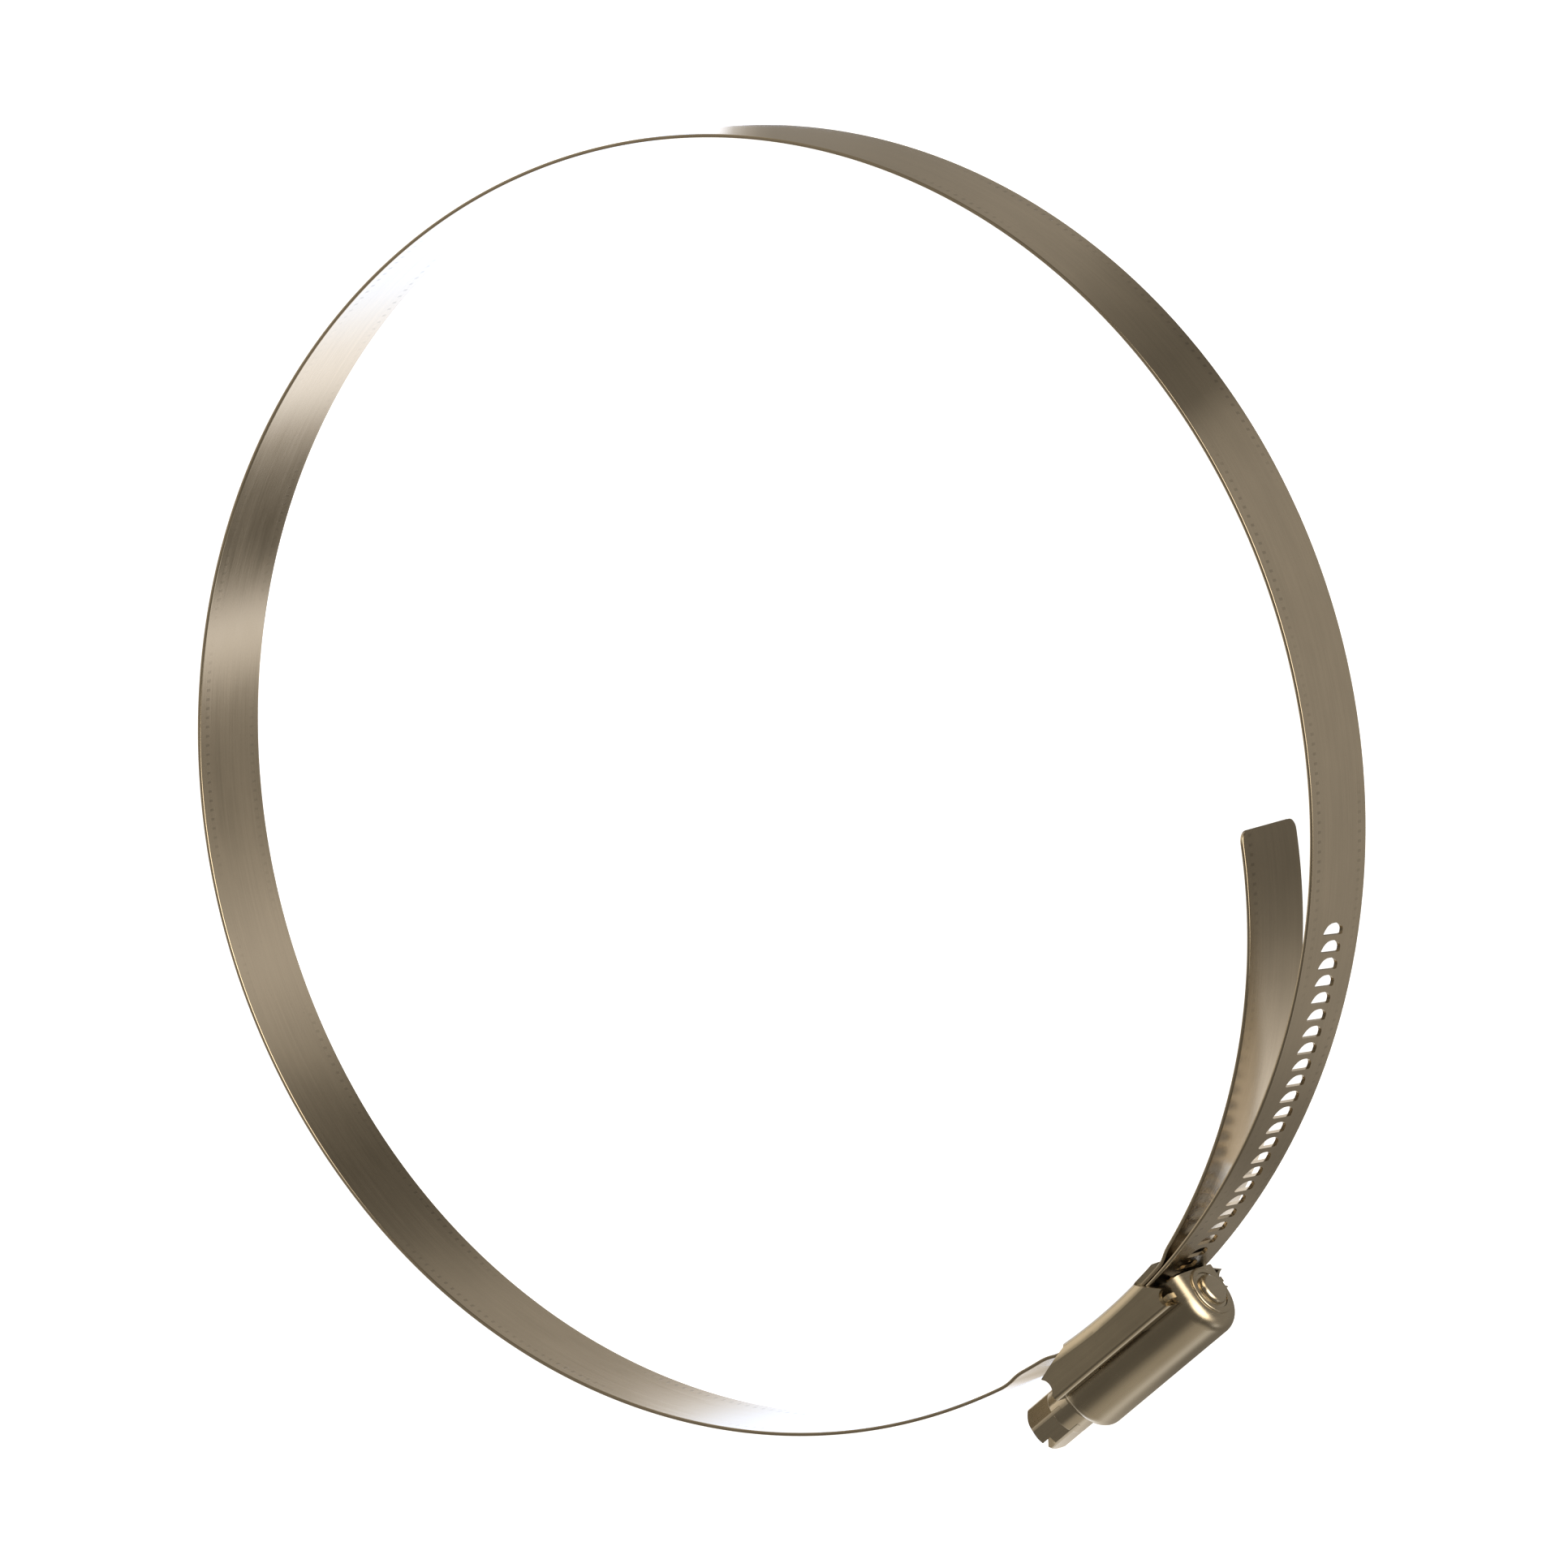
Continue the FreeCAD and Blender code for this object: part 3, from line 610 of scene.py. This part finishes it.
class HOSECLAMP_OT_slotted_end(bpy.types.Operator):
    """Build the slotted end of the strip, from the right-hand side into the housing"""
    bl_idname = "hoseclamp.slotted_end"
    bl_label = "Slotted end"

    def execute(self, context):
        band = context.scene.clamp_band
        builder = bmesh.new()
        first = -band.slots_on_tail
        last = band.slot_count - band.slots_on_tail - 1
        border = BORDER_PER_ROUND * band.edge_round
        for number in range(first, last + 1):
            self.add_slot(builder, band, number * band.slot_pitch, BAND_WIDTH / 2 - border)
        bmesh.ops.remove_doubles(builder, verts=builder.verts, dist=TOUCHING)
        tail_run = SLOTTED_RADIUS * math.asin(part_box("slotted_end")[0].x / SLOTTED_RADIUS)
        self.add_plain_end(builder, (last + 0.5) * band.slot_pitch, SLOTTED_RADIUS * math.pi / 2,
                           PLAIN_END_STEPS)
        self.add_plain_end(builder, (first - 0.5) * band.slot_pitch, tail_run, TAIL_END_STEPS)
        self.add_borders(builder, BAND_WIDTH / 2 - border, border)
        self.thicken(builder, band.edge_round)
        run_layer = builder.verts.layers.float.new("run")
        for vert in builder.verts:
            along, across, depth = vert.co
            taper = max(0.0, 1 - (along - tail_run) / TAIL_TAPER_LENGTH)
            across *= 1 - TAIL_TAPER_SHARE * (1 - math.sqrt(1 - min(1.0, taper) ** 2))
            angle = along / SLOTTED_RADIUS
            radius = SLOTTED_RADIUS + BAND_THICKNESS / 2 - depth
            vert[run_layer] = along - SLOTTED_RADIUS * math.pi / 2
            vert.co = (radius * math.sin(angle), -radius * math.cos(angle), across)
        write_run_uv(builder, run_layer)
        piece = finish_mesh("strip_slotted", builder, bpy.data.materials["strip_steel"])
        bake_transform(piece, "right_span", "slotted_span",
                 loop_place(SLOTTED_RADIUS, BLEND_REACH_DEGREES - 45),
                 loop_place(SLOTTED_RADIUS, -BLEND_REACH_DEGREES - 45))
        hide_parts("slotted_end", "band_right")
        return {"FINISHED"}

    def add_slot(self, builder, band, middle, edge):
        """One pitch of flat sheet with its slot, made between two matching loops of points."""
        corner = math.cos(2 * math.pi / SLOT_LOOP_POINTS)
        slant = math.tan(band.slot_slant)
        outer = bmesh.ops.create_circle(builder, segments=SLOT_LOOP_POINTS, radius=1)["verts"]
        outer_edges = list({side for vert in outer for side in vert.link_edges})
        made = bmesh.ops.extrude_edge_only(builder, edges=outer_edges)["geom"]
        for vert in [item for item in made if isinstance(item, bmesh.types.BMVert)]:
            share, row = vert.co.x, vert.co.y
            low, high = slot_edge(band, share)
            along = (low + high) / 2 if abs(row) < TOUCHING else (high if row > 0 else low)
            across = share * band.slot_length / 2
            vert.co = (middle + along + slant * across, across, 0)
        for vert in outer:
            across = max(-1, min(1, vert.co.x / corner)) * edge
            side = 0 if abs(vert.co.y) < TOUCHING else math.copysign(0.5, vert.co.y)
            vert.co = (middle + side * band.slot_pitch, across, 0)

    def add_plain_end(self, builder, start, end, steps):
        """Carry the sheet on from a row of points to a place further along."""
        edges = [edge for edge in builder.edges
                 if edge.is_boundary and all(abs(vert.co.x - start) < TOUCHING for vert in edge.verts)]
        for _ in range(steps):
            made = bmesh.ops.extrude_edge_only(builder, edges=edges)["geom"]
            verts = [item for item in made if isinstance(item, bmesh.types.BMVert)]
            edges = [item for item in made if isinstance(item, bmesh.types.BMEdge)]
            bmesh.ops.translate(builder, verts=verts, vec=((end - start) / steps, 0, 0))

    def add_borders(self, builder, edge, border):
        """Narrow strips along both long sides, which keep the rounding off the flat sheet."""
        for side in (-1, 1):
            edges = [item for item in builder.edges if item.is_boundary
                     and all(abs(vert.co.y - side * edge) < TOUCHING for vert in item.verts)]
            made = bmesh.ops.extrude_edge_only(builder, edges=edges)["geom"]
            verts = [item for item in made if isinstance(item, bmesh.types.BMVert)]
            bmesh.ops.translate(builder, verts=verts, vec=(0, side * border, 0))

    def thicken(self, builder, edge_round):
        """Give the flat sheet its thickness and round its two long sides."""
        sheet = list(builder.faces)
        made = bmesh.ops.extrude_face_region(builder, geom=sheet, use_keep_orig=True)["geom"]
        verts = [item for item in made if isinstance(item, bmesh.types.BMVert)]
        bmesh.ops.translate(builder, verts=verts, vec=(0, 0, BAND_THICKNESS))
        sides = [edge for edge in builder.edges
                 if all(abs(abs(vert.co.y) - BAND_WIDTH / 2) < TOUCHING for vert in edge.verts)
                 and abs(edge.verts[0].co.z - edge.verts[1].co.z) < TOUCHING]
        bmesh.ops.bevel(builder, geom=sides, offset=edge_round, segments=3, profile=0.5,
                        affect="EDGES", material=-1)


class HOSECLAMP_OT_liner(bpy.types.Operator):
    """Build the smooth tongue that lies inside the loop under the slots"""
    bl_idname = "hoseclamp.liner"
    bl_label = "Liner tongue"

    def execute(self, context):
        band = context.scene.clamp_band
        curve_radius = LINER_CURVE_SHARE * SLOTTED_RADIUS
        sweep = math.degrees(band.liner_length / curve_radius)
        moves = [(0, LINER_BACK_BEND_RADIUS, -LINER_BACK_BEND_DEGREES), (0, curve_radius, sweep)]
        builder = strip_along(LINER_ROOT, exit_degrees() + LINER_BEND_DEGREES, moves,
                              LINER_RUN_START, band.edge_round)
        self.round_tip(builder, band.liner_corner)
        piece = finish_mesh("strip_liner", builder, bpy.data.materials["strip_steel"])
        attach(piece, "liner")
        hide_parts("liner_tongue")
        return {"FINISHED"}

    def round_tip(self, builder, corner):
        """Cut finer rows at the tip and draw them in towards the middle, so the corners are round."""
        run_layer = builder.verts.layers.float["run"]
        tip_run = max(vert[run_layer] for vert in builder.verts)
        tip = [vert for vert in builder.verts if vert[run_layer] > tip_run - TOUCHING]
        heading = sum((vert.co for vert in tip), Vector()) / len(tip)
        along = Vector((-heading.y, heading.x, 0)).normalized()
        along.rotate(Matrix.Rotation(math.radians(TIP_LEAN_DEGREES), 3, "Z"))
        for step in range(TIP_ROWS):
            place = heading - along * corner * (1 - math.sin(math.pi / 2 * step / TIP_ROWS))
            everything = list(builder.verts) + list(builder.edges) + list(builder.faces)
            bmesh.ops.bisect_plane(builder, geom=everything, plane_co=place, plane_no=along)
        for vert in builder.verts:
            depth = corner + (vert.co - heading).dot(along)
            if 0 < depth < 2 * corner and (vert.co - heading).length < BAND_WIDTH:
                inset = corner - math.sqrt(max(0.0, corner ** 2 - min(depth, corner) ** 2))
                vert.co.z *= 1 - inset / (BAND_WIDTH / 2)


class HOSECLAMP_OT_finishes(bpy.types.Operator):
    """Make the steels and put them on the housing, saddle and screw"""
    bl_idname = "hoseclamp.finishes"
    bl_label = "Steel finishes"

    def execute(self, context):
        tones = context.scene.clamp_finish
        grain = rolled_grain_group()
        strip_steel(grain, roller_marks_group(), tones.strip_tone)
        finishes = {
            "housing_shell": pressed_steel("housing_steel_finish", grain, tones.housing_tone, 0.26),
            "saddle": pressed_steel("saddle_steel_finish", grain, tones.housing_tone, 0.24),
            "worm_screw": pressed_steel("screw_steel_finish", grain, tones.screw_tone, 0.22),
        }
        for node, finish in finishes.items():
            frame["nodes"][node].material_slots[0].material = finish
        return {"FINISHED"}


class HOSECLAMP_OT_stage(bpy.types.Operator):
    """Make the floor, the soft studio surround and the camera"""
    bl_idname = "hoseclamp.stage"
    bl_label = "Studio"

    def execute(self, context):
        self.make_floor()
        self.make_card("outer_card", 89.2 * MM, 140 * MM, (108 * MM, 136 * MM), OUTER_CARD_LEVELS)
        self.make_card("liner_card", 45 * MM, 89.0 * MM, (68 * MM, 47 * MM), LINER_CARD_LEVELS)
        self.make_surround(context.scene)
        self.make_camera(context.scene)
        context.scene.view_settings.view_transform = "Standard"
        return {"FINISHED"}

    def make_floor(self):
        builder = bmesh.new()
        bmesh.ops.create_grid(builder, x_segments=1, y_segments=1, size=FLOOR_SIZE)
        bmesh.ops.translate(builder, verts=builder.verts, vec=(0, 0, CAD_BOX[0].z - FLOOR_GAP))
        mesh = bpy.data.meshes.new("floor")
        builder.to_mesh(mesh)
        builder.free()
        floor = bpy.data.objects.new("floor", mesh)
        bpy.context.scene.collection.objects.link(floor)
        material = bpy.data.materials.new("floor_white")
        material.use_nodes = True
        shader = material.node_tree.nodes["Principled BSDF"]
        shader.inputs["Base Color"].default_value = (0.9, 0.9, 0.9, 1)
        shader.inputs["Roughness"].default_value = 1.0
        shader.inputs["Emission Color"].default_value = (1, 1, 1, 1)
        shader.inputs["Emission Strength"].default_value = 1.0
        mesh.materials.append(material)
        floor.visible_glossy = False

    def make_card(self, name, inner, outer, fade, levels):
        """Reflector under the floor that only reflections see, and that fades out between two radii."""
        builder = bmesh.new()
        start, end = math.radians(levels[0][0]), math.radians(levels[-1][0])
        ends = [builder.verts.new((radius * math.cos(start), radius * math.sin(start), 0))
                for radius in (inner, outer)]
        edge = builder.edges.new(ends)
        bmesh.ops.spin(builder, geom=ends + [edge], axis=(0, 0, 1), cent=(0, 0, 0),
                       angle=end - start, steps=CARD_STEPS)
        bmesh.ops.translate(builder, verts=builder.verts, vec=(0, 0, CAD_BOX[0].z - CARD_GAP))
        mesh = bpy.data.meshes.new(name)
        builder.to_mesh(mesh)
        builder.free()
        card = bpy.data.objects.new(name, mesh)
        bpy.context.scene.collection.objects.link(card)
        material = bpy.data.materials.new(name + "_glow")
        material.use_nodes = True
        tree = material.node_tree
        tree.nodes.clear()
        glow = tree.nodes.new("ShaderNodeEmission")
        tree.links.new(walls_by_angle(tree, coordinates(tree, "Object"), levels), glow.inputs["Color"])
        radius = tree.nodes.new("ShaderNodeVectorMath")
        radius.operation = "LENGTH"
        tree.links.new(coordinates(tree, "Object"), radius.inputs[0])
        strength = tree.nodes.new("ShaderNodeMapRange")
        strength.interpolation_type = "SMOOTHSTEP"
        strength.inputs["From Min"].default_value = fade[1]
        strength.inputs["From Max"].default_value = fade[0]
        tree.links.new(radius.outputs["Value"], strength.inputs["Value"])
        soft_edge = tree.nodes.new("ShaderNodeMixShader")
        tree.links.new(strength.outputs["Result"], soft_edge.inputs[0])
        tree.links.new(tree.nodes.new("ShaderNodeBsdfTransparent").outputs[0], soft_edge.inputs[1])
        tree.links.new(glow.outputs[0], soft_edge.inputs[2])
        output = tree.nodes.new("ShaderNodeOutputMaterial")
        tree.links.new(soft_edge.outputs[0], output.inputs["Surface"])
        mesh.materials.append(material)
        card.visible_camera = False

    def make_surround(self, scene):
        """White walls behind the clamp, greyer ones on the camera's side, and soft lamps overhead."""
        world = bpy.data.worlds.new("studio")
        scene.world = world
        world.use_nodes = True
        tree = world.node_tree
        tree.nodes.clear()
        direction = coordinates(tree, "Generated")
        low_walls = walls_by_angle(tree, direction, WALL_LEVELS)
        overhead = OVERHEAD_LEVEL
        for azimuth, elevation, reach, core, level in LAMPS:
            aim = (math.cos(math.radians(elevation)) * math.cos(math.radians(azimuth)),
                   math.cos(math.radians(elevation)) * math.sin(math.radians(azimuth)),
                   math.sin(math.radians(elevation)))
            closeness = tree.nodes.new("ShaderNodeVectorMath")
            closeness.operation = "DOT_PRODUCT"
            tree.links.new(direction, closeness.inputs[0])
            closeness.inputs[1].default_value = aim
            soft = tree.nodes.new("ShaderNodeMapRange")
            soft.interpolation_type = "SMOOTHSTEP"
            soft.inputs["From Min"].default_value = math.cos(math.radians(reach))
            soft.inputs["From Max"].default_value = math.cos(math.radians(core))
            soft.inputs["To Max"].default_value = level
            tree.links.new(closeness.outputs["Value"], soft.inputs["Value"])
            overhead = math_node(tree, "ADD", soft.outputs["Result"], overhead)
        warm_overhead = mix_colour(tree, 1.0, grey_of(tree, overhead), shade(WARM), "MULTIPLY")
        split = tree.nodes.new("ShaderNodeSeparateXYZ")
        tree.links.new(direction, split.inputs[0])
        height = math_node(tree, "MULTIPLY_ADD", split.outputs["Z"], 0.5, 0.5)
        above = ramp(tree, height, [(0.0, 0.0), (0.40, 0.0), (0.52, 1.0)])
        shallow = ramp(tree, height, [(0.0, 0.0), (0.14, 0.0), (0.26, 1.0)])
        calm_walls = mix_colour(tree, shallow, low_walls, SHALLOW_GREY, "DARKEN")
        surround = mix_colour(tree, above, calm_walls, warm_overhead)
        room = tree.nodes.new("ShaderNodeBackground")
        tree.links.new(surround, room.inputs["Color"])
        seen = tree.nodes.new("ShaderNodeBackground")
        seen.inputs["Color"].default_value = (1, 1, 1, 1)
        path = tree.nodes.new("ShaderNodeLightPath")
        mix = tree.nodes.new("ShaderNodeMixShader")
        tree.links.new(path.outputs["Is Camera Ray"], mix.inputs[0])
        tree.links.new(room.outputs[0], mix.inputs[1])
        tree.links.new(seen.outputs[0], mix.inputs[2])
        output = tree.nodes.new("ShaderNodeOutputWorld")
        tree.links.new(mix.outputs[0], output.inputs["Surface"])

    def make_camera(self, scene):
        stage = scene.clamp_stage
        azimuth, elevation = stage.camera_azimuth, stage.camera_elevation
        toward = Vector((math.cos(elevation) * math.cos(azimuth),
                         math.cos(elevation) * math.sin(azimuth), math.sin(elevation)))
        level_right = Vector((-math.sin(azimuth), math.cos(azimuth), 0))
        level_up = toward.cross(level_right)
        roll = stage.camera_roll
        right = level_right * math.cos(roll) + level_up * math.sin(roll)
        up = toward.cross(right)
        aim = right * CAMERA_AIM_RIGHT
        data = bpy.data.cameras.new("camera")
        data.sensor_width = 36
        data.lens = CAMERA_LENS
        data.clip_end = 20
        camera = bpy.data.objects.new("camera", data)
        place = Matrix((right, up, toward)).transposed().to_4x4()
        place.translation = aim + toward * stage.camera_distance
        camera.matrix_world = place
        scene.collection.objects.link(camera)
        scene.camera = camera


class HOSECLAMP_PT_panel(bpy.types.Panel):
    """Sidebar panel with the clamp's settings and one button for each step"""
    bl_idname = "HOSECLAMP_PT_panel"
    bl_label = "Hose Clamp"
    bl_space_type = "VIEW_3D"
    bl_region_type = "UI"
    bl_category = "Hose Clamp"

    def draw(self, context):
        for group in ("clamp_band", "clamp_finish", "clamp_stage"):
            settings = getattr(context.scene, group)
            for name in settings.bl_rna.properties.keys():
                if name not in ("rna_type", "name"):
                    self.layout.prop(settings, name)
        for operator in STEPS:
            self.layout.operator(operator.bl_idname)


SETTINGS = (ClampBandSettings, ClampFinishSettings, ClampStageSettings)
STEPS = (HOSECLAMP_OT_finishes, HOSECLAMP_OT_band, HOSECLAMP_OT_slotted_end, HOSECLAMP_OT_liner,
         HOSECLAMP_OT_stage)
CLASSES = SETTINGS + STEPS + (HOSECLAMP_PT_panel,)


def register():
    for item in CLASSES:
        bpy.utils.register_class(item)
    bpy.types.Scene.clamp_band = bpy.props.PointerProperty(type=ClampBandSettings)
    bpy.types.Scene.clamp_finish = bpy.props.PointerProperty(type=ClampFinishSettings)
    bpy.types.Scene.clamp_stage = bpy.props.PointerProperty(type=ClampStageSettings)


def unregister():
    del bpy.types.Scene.clamp_stage
    del bpy.types.Scene.clamp_finish
    del bpy.types.Scene.clamp_band
    for item in reversed(CLASSES):
        bpy.utils.unregister_class(item)


def main():
    register()
    for step in STEPS:
        group, name = step.bl_idname.split(".")
        getattr(getattr(bpy.ops, group), name)()


if __name__ == "__main__":
    main()
